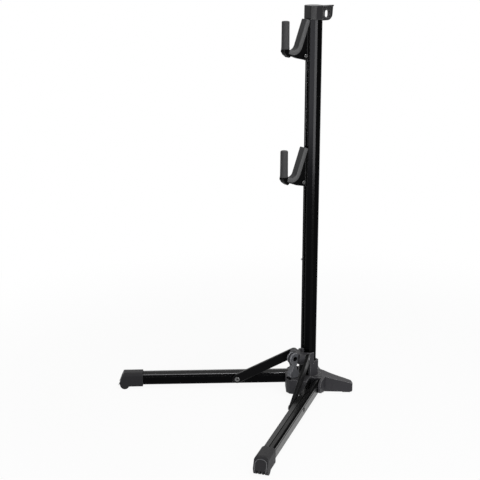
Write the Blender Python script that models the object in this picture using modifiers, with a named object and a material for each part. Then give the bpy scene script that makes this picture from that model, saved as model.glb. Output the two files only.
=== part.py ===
"""Folding bike stand: an upright with two hooks on a base with two folding legs and two short rear feet.

Metres, +Z up. The origin is on the floor, on the upright's axis. The hooks point along -Y, the rear feet
along +Y, and the stand is symmetric about the YZ plane. Each folding leg hinges in the base hub, and a strut
ties it to a slider that runs up the upright.
"""
import math

import bmesh
import bpy
from mathutils import Matrix, Vector

# Upright: an extruded tube with bevelled corners and a T-slot down its hook side
STAND_HEIGHT = 0.780
TUBE_WIDTH = 0.030
TUBE_DEPTH = 0.027
TUBE_CHAMFER = 0.005
TUBE_FRONT_HALF = 0.0067
TUBE_CREASE = (0.0128, -0.0069)
TUBE_SIDE_FRONT = -0.0028
TUBE_WALL = 0.0022
TUBE_FOOT = 0.010
SLOT_WIDTH = 0.0046
SLOT_LIP = 0.0020
SLOT_POCKET_WIDTH = 0.0090
SLOT_POCKET_DEPTH = 0.0036
CLEARANCE = 0.0003

# Top cap with its hanging eye
CAP_WALL = 0.0022
CAP_HEIGHT = 0.026
CAP_TOP = 0.0030
EYE_THICKNESS = 0.0055
EYE_REACH = 0.045
EYE_DROP = 0.0295
EYE_HOLE_RADIUS = 0.0048
EYE_HOLE_HEIGHT = 0.0145

# Hooks
UPPER_HOOK_DROP = 0.0755
HOOK_SPACING = 0.2435
PRONG_REACH = 0.0673
PRONG_RADIUS = 0.0042
SLEEVE_RADIUS = 0.0078
SLEEVE_TOP_RISE = 0.0495
SLEEVE_FOOT_DROP = 0.0021
PAD_WIDTH = 0.0160
PAD_THICKNESS = 0.0054
PAD_TOP = (-0.0198, 0.0505)
PAD_HEEL = (-0.0392, -0.0022)
PAD_TROUGH = (-0.0505, -0.0086)
PAD_TOE = (-0.0620, -0.0054)
BRACKET_WEB = 0.0090
ELBOW_WIDTH = 0.0108
BRACKET_DROP = 0.0270
HOOK_SCREW_PLACE = (-0.0230, -0.0172)
HOOK_SCREW_RADIUS = 0.0018
HOOK_TONGUE_WIDTH = 0.0036

# Folding legs: their middle lines meet behind the upright and spread toward the hooks
LEG_SPREAD = math.radians(35.1)
LEG_APEX = 0.0387
LEG_WIDTH = 0.0220
LEG_HEIGHT = 0.0240
LEG_WALL = 0.0018
LEG_CHAMFER = 0.0026
LEG_GROOVE = 0.0009
LEG_PIVOT_R = 0.0620
LEG_PIVOT_Z = 0.0240
LEG_DROP = math.radians(0.6)
LEG_END = 0.3430
LEG_PIN_RADIUS = 0.0040

# Moulded caps on the legs' outer ends
FOOT_GRIP = 0.0340
FOOT_NOSE = 0.0140
FOOT_START = LEG_END - FOOT_GRIP
FOOT_END = LEG_END + FOOT_NOSE
FOOT_WALL = 0.0022
FOOT_LOBE_RADIUS = 0.0095
FOOT_ARCH = 0.0070
FOOT_RIBS = 4

# Struts from the slider to the legs
STRUT_THICKNESS = 0.0060
STRUT_DEPTH = 0.0190
STRUT_LEG_REACH = 0.1140
STRUT_SLIDER_R = 0.0600
STRUT_SLIDER_Z = 0.0800
STRUT_PIN_RADIUS = 0.0030
SCREW_HEAD_RADIUS = 0.0048
SCREW_HEAD_HEIGHT = 0.0022
NUT_RADIUS = 0.0042

# Slider and its latch
SLIDER_BOTTOM = 0.0660
SLIDER_TOP = 0.0880
SLIDER_BACK = 0.0020
NOSE_HALF_WIDTH = 0.0026
TAB_TOP = 0.0960
LATCH_PIN_Y = -0.0380
LATCH_PIN_Z = 0.0790
LATCH_LENGTH = 0.0330
LATCH_RING_RADIUS = 0.0120
LATCH_LOBE_RADIUS = 0.0112
LATCH_WAIST = 0.0045
LATCH_PLATE = 0.0032
LATCH_PIN_RADIUS = 0.0030
STOP_SCREW_Z = 0.2830
STOP_SCREW_X = -0.0064
STOP_SCREW_RADIUS = 0.0022

# Base hub
HUB_BOTTOM = 0.0060
HUB_TOP = 0.0380
HUB_NOSE_Y = -0.0515
HUB_NOSE_HALF = 0.0050
HUB_SHOULDER_R = 0.0770
EAR_THICKNESS = 0.0050
EAR_RADIUS = 0.0130
COLLAR_WALL = 0.0032
COLLAR_TOP = 0.0690
COLLAR_FRONT_Y = -0.0080
ARM_TIP = (0.0670, 0.0640)
ARM_ROOT = (0.0275, 0.0142)
ARM_WIDTH = 0.0210
ARM_TIP_HEIGHT = 0.0215
PAD_SOLE = 0.0020
SOLE_LENGTH = 0.0160

collection = bpy.data.collections.new("folding_bike_stand")
cutters = bpy.data.collections.new("cutters")


def clear_scene():
    for old in list(bpy.data.objects):
        bpy.data.objects.remove(old, do_unlink=True)
    bpy.context.scene.collection.children.link(collection)
    bpy.context.scene.collection.children.link(cutters)


def make_material(name, colour, roughness, metallic):
    material = bpy.data.materials.new(name)
    material.use_nodes = True
    shader = material.node_tree.nodes["Principled BSDF"]
    shader.inputs["Base Color"].default_value = (*colour, 1.0)
    shader.inputs["Roughness"].default_value = roughness
    shader.inputs["Metallic"].default_value = metallic
    return material


clear_scene()
ANODISED = make_material("black_anodised", (0.018, 0.018, 0.020), 0.30, 0.9)
PLASTIC = make_material("charcoal_plastic", (0.062, 0.061, 0.066), 0.55, 0.0)
RUBBER = make_material("grey_rubber", (0.085, 0.085, 0.088), 0.75, 0.0)
BRACKET_BLACK = make_material("black_nylon", (0.012, 0.012, 0.013), 0.40, 0.0)
ZINC = make_material("zinc_steel", (0.62, 0.62, 0.64), 0.30, 1.0)
LATCH_GREY = make_material("cast_grey", (0.16, 0.16, 0.17), 0.45, 0.3)
BLACK_STEEL = make_material("black_steel", (0.020, 0.020, 0.022), 0.40, 0.9)


def new_object(name, mesh, material, into=None):
    item = bpy.data.objects.new(name, mesh)
    (into or collection).objects.link(item)
    mesh.materials.clear()
    mesh.materials.append(material)
    return item


def as_cutter(item):
    """Moves a helper solid to the cutters, which are not part of the stand."""
    collection.objects.unlink(item)
    cutters.objects.link(item)
    item.hide_render = True
    item.display_type = "WIRE"
    return item


def fillet(points, steps=3):
    """Rounds an outline's corners: each point is (x, y) or (x, y, radius)."""
    out = []
    count = len(points)
    for i, point in enumerate(points):
        radius = point[2] if len(point) > 2 else 0.0
        corner = Vector(point[:2])
        if radius <= 0.0:
            out.append(tuple(corner))
            continue
        before = (Vector(points[i - 1][:2]) - corner)
        after = (Vector(points[(i + 1) % count][:2]) - corner)
        half = before.angle(after) / 2
        reach = min(radius / math.tan(half), before.length * 0.49, after.length * 0.49)
        radius = reach * math.tan(half)
        middle = corner + (before.normalized() + after.normalized()).normalized() * radius / math.sin(half)
        start = corner + before.normalized() * reach - middle
        turn = start.angle_signed(corner + after.normalized() * reach - middle)
        for k in range(steps + 1):
            out.append(tuple(middle + Matrix.Rotation(-turn * k / steps, 2) @ start))
    return out


def arc(cx, cy, radius, start, end, steps):
    return [(cx + radius * math.cos(math.radians(start + (end - start) * k / steps)),
             cy + radius * math.sin(math.radians(start + (end - start) * k / steps)))
            for k in range(steps + 1)]


def prism(name, loops, low, high, material, along="Z"):
    """Extrudes outlines from low to high. Outlines are (x, y), (y, z) along X, or (x, z) along Y."""
    curve = bpy.data.curves.new(name, "CURVE")
    curve.dimensions = "2D"
    curve.fill_mode = "BOTH"
    curve.extrude = (high - low) / 2
    for loop in loops:
        spline = curve.splines.new("POLY")
        spline.points.add(len(loop) - 1)
        for point, place in zip(spline.points, loop):
            point.co = (place[0], place[1], 0.0, 1.0)
        spline.use_cyclic_u = True
    shape = bpy.data.objects.new(name + "_curve", curve)
    collection.objects.link(shape)
    mesh = bpy.data.meshes.new_from_object(shape.evaluated_get(bpy.context.evaluated_depsgraph_get()))
    bpy.data.objects.remove(shape, do_unlink=True)
    work = bmesh.new()
    work.from_mesh(mesh)
    middle = (low + high) / 2
    for vert in work.verts:
        x, y, z = vert.co
        z += middle
        vert.co = {"Z": (x, y, z), "X": (z, x, y), "Y": (x, z, y)}[along]
    bmesh.ops.remove_doubles(work, verts=work.verts, dist=0.000005)
    bmesh.ops.dissolve_limit(work, angle_limit=0.0005, verts=work.verts, edges=work.edges)
    bmesh.ops.recalc_face_normals(work, faces=work.faces)
    work.to_mesh(mesh)
    work.free()
    mesh.name = name
    return new_object(name, mesh, material)


def cylinder(name, radius, low, high, material, along="Z", sides=20, top_radius=None):
    mesh = bpy.data.meshes.new(name)
    work = bmesh.new()
    bmesh.ops.create_cone(work, cap_ends=True, segments=sides, radius1=radius,
                          radius2=radius if top_radius is None else top_radius, depth=high - low)
    bmesh.ops.translate(work, verts=work.verts, vec=(0, 0, (low + high) / 2))
    turn = {"Z": Matrix.Identity(3), "X": Matrix.Rotation(math.pi / 2, 3, "Y"),
            "Y": Matrix.Rotation(-math.pi / 2, 3, "X")}[along]
    bmesh.ops.rotate(work, verts=work.verts, cent=(0, 0, 0), matrix=turn)
    work.to_mesh(mesh)
    work.free()
    item = new_object(name, mesh, material)
    mesh.shade_smooth()
    mesh.set_sharp_from_angle(angle=math.radians(40))
    return item


def box(name, x, y, z, material):
    """A box from three (low, high) spans."""
    return prism(name, [[(x[0], y[0]), (x[1], y[0]), (x[1], y[1]), (x[0], y[1])]], z[0], z[1], material)


def boolean(target, tool, operation):
    modifier = target.modifiers.new(operation.lower() + "_" + tool.name, "BOOLEAN")
    modifier.operation = operation
    modifier.object = tool
    if tool.name in collection.objects:
        as_cutter(tool)
    return modifier


def cut(target, tool):
    return boolean(target, tool, "DIFFERENCE")


def fuse(target, tool):
    return boolean(target, tool, "UNION")


def keep_inside(target, tool):
    return boolean(target, tool, "INTERSECT")


def soften(item, width, segments=1, angle=30):
    """Rounds the sharp edges of a solid."""
    bevel = item.modifiers.new("soft_edges", "BEVEL")
    bevel.width = width
    bevel.segments = segments
    bevel.limit_method = "ANGLE"
    bevel.angle_limit = math.radians(angle)
    bevel.miter_outer = "MITER_SHARP"
    return item


def joint_empty(name, place, turn=0.0, tilt=0.0, parent=None):
    """An empty on a joint's axis, turned about Z and then tipped down about its own Y."""
    empty = bpy.data.objects.new(name, None)
    collection.objects.link(empty)
    empty.empty_display_size = 0.02
    empty.location = place
    empty.rotation_euler = (0.0, tilt, turn)
    empty.parent = parent
    return empty


def ride(item, parent):
    item.parent = parent
    return item


def grown(outline, gap):
    """Grows an outline by a gap, corner by corner."""
    count = len(outline)
    area = sum(outline[i - 1][0] * outline[i][1] - outline[i][0] * outline[i - 1][1] for i in range(count))
    sign = 1 if area > 0 else -1
    out = []
    for i in range(count):
        a, b, c = Vector(outline[i - 1]), Vector(outline[i]), Vector(outline[(i + 1) % count])
        e1, e2 = (b - a).normalized(), (c - b).normalized()
        n1, n2 = Vector((e1.y, -e1.x)) * sign, Vector((e2.y, -e2.x)) * sign
        n = (n1 + n2).normalized()
        out.append(tuple(b + n * gap / max(n.dot(n1), 0.5)))
    return out


def tube_outline(grow=0.0):
    """The upright's outline, grown by a clearance: two-facet bevels in front and plain ones behind."""
    x = TUBE_WIDTH / 2
    y = TUBE_DEPTH / 2
    right = [(TUBE_FRONT_HALF, -y), TUBE_CREASE, (x, TUBE_SIDE_FRONT), (x, y - TUBE_CHAMFER), (x - TUBE_CHAMFER, y)]
    outline = [(-TUBE_FRONT_HALF, -y)] + right + [(-p[0], p[1]) for p in right[:0:-1]]
    return grown(outline, grow) if grow else outline


def bore_outline(web, x, y, corner):
    """The hollow behind the slot, from the web back to the rear wall."""
    slope = 0.0050
    return [(-x + slope, web), (x - slope, web), (x, web + slope), (x, y - corner), (x - corner, y), (-x + corner, y),
            (-x, y - corner), (-x, web + slope)]


def make_upright():
    front = -TUBE_DEPTH / 2
    neck = SLOT_WIDTH / 2
    pocket = SLOT_POCKET_WIDTH / 2
    lip = front + SLOT_LIP
    floor = lip + SLOT_POCKET_DEPTH
    body = [(x, y, 0.0009) for x, y in tube_outline()]
    slot = [(-neck, front, 0.0004), (-neck, lip), (-pocket, lip), (-pocket, floor),
            (pocket, floor), (pocket, lip), (neck, lip), (neck, front, 0.0004)]
    outline = fillet([body[0]] + slot + body[1:], 2)
    x = TUBE_WIDTH / 2 - TUBE_WALL
    y = TUBE_DEPTH / 2 - TUBE_WALL
    c = TUBE_CHAMFER * 0.8
    web = floor + TUBE_WALL
    bore = bore_outline(web, x, y, c)
    tube = prism("upright_tube", [outline, bore], TUBE_FOOT, STAND_HEIGHT - CAP_TOP - CLEARANCE, ANODISED)
    return tube


def make_top_cap():
    x = TUBE_WIDTH / 2 + CLEARANCE + CAP_WALL
    y = TUBE_DEPTH / 2 + CLEARANCE + CAP_WALL
    c = 0.0082
    bottom = STAND_HEIGHT - CAP_HEIGHT
    plan = fillet([(-x + c, -y, 0.003), (x - c, -y, 0.003), (x, -y + c, 0.003), (x, y - c, 0.003),
                   (x - c, y, 0.003), (-x + c, y, 0.003), (-x, y - c, 0.003), (-x, -y + c, 0.003)], 2)
    cap = soften(prism("top_cap", [plan], bottom, STAND_HEIGHT, PLASTIC), 0.0007, 1, 60)
    cut(cap, prism("cap_socket", [tube_outline(CLEARANCE)], bottom - 0.002, STAND_HEIGHT - CAP_TOP, PLASTIC))
    half = EYE_THICKNESS / 2
    top = STAND_HEIGHT - 0.0015
    low = STAND_HEIGHT - EYE_DROP
    plate = fillet([(y - 0.0015, low), (EYE_REACH - 0.002, low, 0.012), (EYE_REACH, top - 0.003), (EYE_REACH + 0.002, top),
                    (y - 0.0015, top)], 6)
    eye = prism("eye_plate", [plate], -half, half, PLASTIC, along="X")
    middle = (y + EYE_REACH) / 2 + 0.0003
    hole_top = top - 0.0085
    hole_low = hole_top - EYE_HOLE_HEIGHT
    ring = arc(middle, hole_top - EYE_HOLE_RADIUS, EYE_HOLE_RADIUS, 0, 180, 8) \
        + arc(middle, hole_low + EYE_HOLE_RADIUS, EYE_HOLE_RADIUS, 180, 360, 8)
    cut(eye, prism("eye_hole", [ring], -half - 0.002, half + 0.002, PLASTIC, along="X"))
    flange = prism("eye_flange", [fillet([(-0.0085, y - 0.002), (0.0085, y - 0.002), (0.0035, EYE_REACH + 0.002, 0.002),
                                          (-0.0035, EYE_REACH + 0.002, 0.002)], 3)], top - 0.0024, top, PLASTIC)
    fuse(eye, flange)
    fuse(cap, eye)
    return cap


def pad_band(trough_z, grow=0.0):
    """The pad's side outline: a band of even thickness down the slope, round the trough and under the sleeve."""
    path = fillet([PAD_TOP, (*PAD_HEEL, 0.0140), (*PAD_TROUGH, 0.0100), PAD_TOE], 6)
    half = PAD_THICKNESS / 2 + grow
    front, back = [], []
    for i, point in enumerate(path):
        before = Vector(path[max(i - 1, 0)])
        after = Vector(path[min(i + 1, len(path) - 1)])
        along = (after - before).normalized()
        place = Vector(point)
        if i in (0, len(path) - 1):
            place += along * (-grow if i == 0 else grow)
        across = Vector((-along.y, along.x)) * half
        front.append(tuple(place - across))
        back.append(tuple(place + across))
    return [(y, z + trough_z) for y, z in front + back[::-1]]


def make_hook(prefix, trough_z, carriage):
    """One J-hook: a black bracket on the slot, with a rubber pad on its slope and a rubber sleeve on its prong."""
    front = -TUBE_DEPTH / 2 - CLEARANCE
    half = BRACKET_WEB / 2
    sleeve_low = trough_z - SLEEVE_FOOT_DROP
    sleeve_top = trough_z + SLEEVE_TOP_RISE
    screw_y = HOOK_SCREW_PLACE[0]
    screw_z = trough_z + HOOK_SCREW_PLACE[1]
    web = [(front, 0.0465), (-0.0163, 0.0495), (-0.0182, 0.0480), PAD_HEEL, PAD_TROUGH, PAD_TOE, (-0.0645, -0.0060),
           (-0.0705, -0.0118, 0.003), (-0.0625, -0.0176, 0.002),
           (-0.0565, -0.0150, 0.002), (-0.0405, -0.0211, 0.010), (-0.0211, -0.0254, 0.010), (front, -BRACKET_DROP)]
    web = fillet([(p[0], p[1] + trough_z, *p[2:]) for p in web], 3)
    bracket = prism(prefix + "_hook_bracket", [web], -half, half, BRACKET_BLACK, along="X")
    saddle = prism("saddle", [[(-0.0062, front), (0.0062, front), (0.0052, front - 0.0045), (-0.0052, front - 0.0045)]],
                   trough_z - BRACKET_DROP + 0.0006, trough_z + 0.0455, BRACKET_BLACK)
    fuse(bracket, saddle)
    elbow = [(-0.0736, -0.0024), (-0.0742, -0.0062, 0.002), (-0.0700, -0.0124, 0.004), (-0.0622, -0.0182, 0.0015),
             (-0.0582, -0.0158), (-0.0600, -0.0090), (-0.0612, -0.0024)]
    elbow = fillet([(p[0], p[1] + trough_z, *p[2:]) for p in elbow], 4)
    fuse(bracket, prism("elbow", [elbow], -ELBOW_WIDTH / 2, ELBOW_WIDTH / 2, BRACKET_BLACK, along="X"))
    prong = cylinder("prong", PRONG_RADIUS, sleeve_low - 0.006, sleeve_top - 0.004, BRACKET_BLACK, sides=16)
    prong.location.y = -PRONG_REACH
    fuse(bracket, prong)
    cut(bracket, prism("pad_room", [pad_band(trough_z, CLEARANCE)], -0.012, 0.012, BRACKET_BLACK, along="X"))
    tongue = HOOK_TONGUE_WIDTH / 2
    tongue_tip = screw_y - 0.0045
    cut(bracket, box("tongue_room", (-tongue - CLEARANCE, tongue + CLEARANCE), (tongue_tip - CLEARANCE, front + 0.001),
                     (screw_z - 0.0043, screw_z + 0.0043), BRACKET_BLACK))
    bore = cylinder("screw_bore", HOOK_SCREW_RADIUS + CLEARANCE, -0.02, 0.02, BRACKET_BLACK, along="X", sides=14)
    bore.location = (0.0, screw_y, screw_z)
    cut(bracket, bore)
    ride(bracket, carriage)

    sleeve = cylinder(prefix + "_hook_sleeve", SLEEVE_RADIUS, sleeve_low, sleeve_top, RUBBER, sides=28,
                      top_radius=SLEEVE_RADIUS - 0.0004)
    sleeve.location.y = -PRONG_REACH
    well = cylinder("sleeve_well", PRONG_RADIUS + CLEARANCE, sleeve_low - 0.002, sleeve_top - 0.004 + CLEARANCE, RUBBER,
                    sides=16)
    well.location.y = -PRONG_REACH
    soften(sleeve, 0.0009, 2)
    cut(sleeve, well)
    ride(sleeve, carriage)

    pad = prism(prefix + "_hook_pad", [pad_band(trough_z)], -PAD_WIDTH / 2, PAD_WIDTH / 2, RUBBER, along="X")
    ride(soften(pad, 0.0012, 2, 60), carriage)

    head_face = half + CLEARANCE
    screw = cylinder(prefix + "_hook_screw", HOOK_SCREW_RADIUS, -half, head_face + 0.0008, ZINC, along="X", sides=14)
    head = cylinder("hook_screw_head", 0.0033, head_face, head_face + SCREW_HEAD_HEIGHT, ZINC, along="X", sides=18)
    driver = cylinder("hook_screw_hex", 0.0016, head_face + 0.0009, head_face + 0.0050, ZINC, along="X", sides=6)
    for item in (screw, head, driver):
        item.location = (0.0, screw_y, screw_z)
    fuse(screw, head)
    cut(screw, driver)
    ride(screw, carriage)

    lip = -TUBE_DEPTH / 2 + SLOT_LIP
    nut = box(prefix + "_hook_nut", (-0.0041, 0.0041), (lip + CLEARANCE, lip + 0.0031), (screw_z - 0.0040, screw_z + 0.0040),
              ZINC)
    fuse(nut, box("hook_tongue", (-tongue, tongue), (tongue_tip, lip + 0.0015), (screw_z - 0.0037, screw_z + 0.0037), ZINC))
    hole = cylinder("hook_tongue_hole", HOOK_SCREW_RADIUS + CLEARANCE, -0.01, 0.01, ZINC, along="X", sides=14)
    hole.location = (0.0, screw_y, screw_z)
    cut(nut, hole)
    ride(nut, carriage)
    return bracket


def leg_turn(side):
    """The turn about Z that points a leg frame's X along the leg; side is -1 or 1."""
    return -math.pi / 2 + side * LEG_SPREAD


def leg_place(side, r, off, z):
    """A point r out along the leg's line and off toward its inner side."""
    out = Vector((side * math.sin(LEG_SPREAD), -math.cos(LEG_SPREAD), 0))
    inner = Vector((-side * math.cos(LEG_SPREAD), -math.sin(LEG_SPREAD), 0))
    return Vector((0, LEG_APEX, z)) + out * r + inner * off


def leg_section():
    """The leg's extruded section: bevelled on top, with a groove along the top and along each side."""
    y = LEG_WIDTH / 2
    z = LEG_HEIGHT / 2
    c = LEG_CHAMFER
    g = LEG_GROOVE
    right = [(g, z), (y - c, z), (y, z - c), (y, z - 2 * c), (y - g, z - 2 * c - g / 2),
             (y - g, z - 3 * c + g / 2), (y, z - 3 * c), (y, -z + c / 2), (y - c / 2, -z)]
    left = [(-a, b) for a, b in right[::-1]]
    outer = right + left + [(0.0, z - g)]
    w = LEG_WALL + g
    bore = [(-y + w, -z + LEG_WALL), (y - w, -z + LEG_WALL), (y - w, z - w - c), (y - w - c, z - w), (-y + w + c, z - w),
            (-y + w, z - w - c)]
    return outer, bore


def make_leg(side, frame):
    name = "left" if side < 0 else "right"
    outer, bore = leg_section()
    reach = EAR_RADIUS - 0.0010
    leg = prism("leg_" + name, [outer, bore], -reach, LEG_END, ANODISED, along="X")
    h = LEG_HEIGHT / 2 + 0.002
    nose = arc(0, 0, reach, 90, 270, 10)
    side_view = nose + [(0.010, -h), (LEG_END + 0.01, -h), (LEG_END + 0.01, h), (0.010, h)]
    keep_inside(leg, prism("leg_side_view_" + name, [side_view], -0.02, 0.02, ANODISED, along="Y"))
    hole = cylinder("leg_pin_hole_" + name, LEG_PIN_RADIUS + CLEARANCE, -0.02, 0.02, ANODISED, along="Y", sides=20)
    bolt_hole = cylinder("leg_bolt_hole_" + name, NUT_RADIUS + CLEARANCE, -0.02, 0.02, ANODISED, along="Y", sides=20)
    bolt_hole.location.x = STRUT_LEG_REACH
    for tool in (hole, bolt_hole):
        tool.parent = frame
        cut(leg, tool)
    for tool in cutters.objects:
        if tool.name == "leg_side_view_" + name:
            tool.parent = frame
    return ride(leg, frame)


def make_foot_cap(side, frame):
    name = "left" if side < 0 else "right"
    half_z = LEG_HEIGHT / 2 + CLEARANCE + FOOT_WALL
    half_y = LEG_WIDTH / 2 + CLEARANCE + FOOT_WALL
    lobe_x = FOOT_END - FOOT_LOBE_RADIUS - 0.0010
    drop = (LEG_PIVOT_Z - math.sin(LEG_DROP) * lobe_x) / math.cos(LEG_DROP)
    lobe_z = -drop + FOOT_LOBE_RADIUS
    lobe = arc(lobe_x, lobe_z, FOOT_LOBE_RADIUS, 205, 350, 9)
    outline = [(FOOT_START, -half_z), (lobe_x - FOOT_LOBE_RADIUS - 0.002, -half_z)] + lobe \
        + fillet([(FOOT_END, lobe_z + 0.004), (FOOT_END - 0.0085, half_z, 0.006), (FOOT_START, half_z)], 4)
    cap = prism("foot_cap_" + name, [outline], -half_y, half_y, PLASTIC, along="Y")
    arch = fillet([(-half_y, -drop - 0.004), (half_y, -drop - 0.004), (half_y, half_z, FOOT_ARCH),
                   (-half_y, half_z, FOOT_ARCH)], 5)
    section = prism("foot_arch_" + name, [arch], FOOT_START - 0.01, FOOT_END + 0.01, PLASTIC, along="X")
    section.parent = frame
    keep_inside(cap, section)
    leg_y = LEG_WIDTH / 2 + CLEARANCE
    leg_z = LEG_HEIGHT / 2 + CLEARANCE
    socket = prism("foot_socket_" + name, [[(-leg_y, -leg_z), (leg_y, -leg_z), (leg_y, leg_z - LEG_CHAMFER),
                                            (leg_y - LEG_CHAMFER, leg_z), (-leg_y + LEG_CHAMFER, leg_z),
                                            (-leg_y, leg_z - LEG_CHAMFER)]],
                   FOOT_START - 0.01, LEG_END + CLEARANCE, PLASTIC, along="X")
    socket.parent = frame
    cut(cap, socket)
    pitch = 2 * half_y / FOOT_RIBS
    for k in range(1, FOOT_RIBS):
        y = -half_y + k * pitch
        groove = prism("foot_groove_%s_%d" % (name, k), [
            [(-0.0011, 0.0), (0.0011, 0.0), (0.0005, 0.0024), (-0.0005, 0.0024)]],
            lobe_x - 0.009, FOOT_END + 0.004, PLASTIC, along="X")
        groove.parent = frame
        groove.location = (0, y, -drop - 0.0004)
        cut(cap, groove)
    return ride(cap, frame)


def make_leg_pin(side, frame):
    name = "left" if side < 0 else "right"
    outer = side * (LEG_WIDTH / 2 + CLEARANCE * 2 + EAR_THICKNESS)
    inner = -side * (LEG_WIDTH / 2 + 0.0080)
    low, high = min(outer, inner), max(outer, inner)
    pin = cylinder("leg_pin_" + name, LEG_PIN_RADIUS, low, high, BLACK_STEEL, along="Y", sides=20)
    return ride(pin, frame)


def make_strut(side, frame, length):
    name = "left" if side < 0 else "right"
    half = STRUT_THICKNESS / 2
    r = STRUT_DEPTH / 2
    outline = arc(0, 0, r, 90, 270, 10) + arc(length, 0, r, -90, 90, 10)
    strut = soften(prism("strut_" + name, [outline], -half, half, ANODISED, along="Y"), 0.0008, 1)
    for tag, x in (("top", 0.0), ("foot", length)):
        hole = cylinder("strut_hole_%s_%s" % (tag, name), STRUT_PIN_RADIUS + CLEARANCE, -0.01, 0.01, ANODISED, along="Y",
                        sides=18)
        hole.parent = frame
        hole.location.x = x
        cut(strut, hole)
    return ride(strut, frame)


def make_strut_screw(side, frame, length):
    """The cross-recess screw through the strut's foot. Its shank ends short of the leg."""
    name = "left" if side < 0 else "right"
    half = STRUT_THICKNESS / 2
    inner = -side
    head_face = inner * (half + CLEARANCE)
    top = inner * (half + CLEARANCE + SCREW_HEAD_HEIGHT)
    low, high = sorted((-inner * half, head_face + inner * 0.0006))
    screw = cylinder("strut_screw_" + name, STRUT_PIN_RADIUS, low, high, ZINC, along="Y", sides=18)
    head = cylinder("strut_screw_head_" + name, SCREW_HEAD_RADIUS, min(head_face, top), max(head_face, top), ZINC,
                    along="Y", sides=20)
    fuse(screw, head)
    tools = [head]
    for k, (a, b) in enumerate(((0.0028, 0.0005), (0.0005, 0.0028))):
        low, high = sorted((top - inner * 0.0010, top + inner * 0.0010))
        slot = prism("strut_screw_slot_%s_%d" % (name, k), [[(-a, -b), (a, -b), (a, b), (-a, b)]], low, high, ZINC,
                     along="Y")
        cut(screw, slot)
        tools.append(slot)
    for item in tools + [screw]:
        item.parent = frame
        item.location.x = length
    return screw


def make_strut_nut(side, frame):
    """The nut that fills the leg's hole at the strut's foot, seen from the leg's outer side."""
    name = "left" if side < 0 else "right"
    reach = LEG_WIDTH / 2
    nut = cylinder("strut_nut_" + name, NUT_RADIUS, -reach, reach, BLACK_STEEL, along="Y", sides=18)
    hexagon = cylinder("strut_nut_hex_" + name, 0.0024, -0.003, 0.003, BLACK_STEEL, along="Y", sides=6)
    hexagon.parent = frame
    hexagon.location = (STRUT_LEG_REACH, side * reach, 0)
    cut(nut, hexagon)
    nut.location.x = STRUT_LEG_REACH
    return ride(nut, frame)


def make_strut_pin(side, frame):
    """The pin from the slider's knuckle through the strut's top, flush with the strut so the folded leg clears it."""
    name = "left" if side < 0 else "right"
    outer = side * (STRUT_THICKNESS / 2 - 0.0001)
    inner = -side * (STRUT_THICKNESS / 2 + 0.0070)
    low, high = sorted((inner, outer))
    pin = cylinder("strut_pin_" + name, STRUT_PIN_RADIUS, low, high, ZINC, along="Y", sides=18)
    return ride(pin, frame)


def strut_off():
    """How far the strut's middle lies toward the inner side of the leg's middle plane."""
    return LEG_WIDTH / 2 + CLEARANCE + STRUT_THICKNESS / 2


def knuckle_axis(side):
    return leg_place(side, STRUT_SLIDER_R, strut_off(), STRUT_SLIDER_Z)


def half_catch():
    """Half the latch's width over its two plates."""
    return NOSE_HALF_WIDTH + CLEARANCE + LATCH_PLATE


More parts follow.
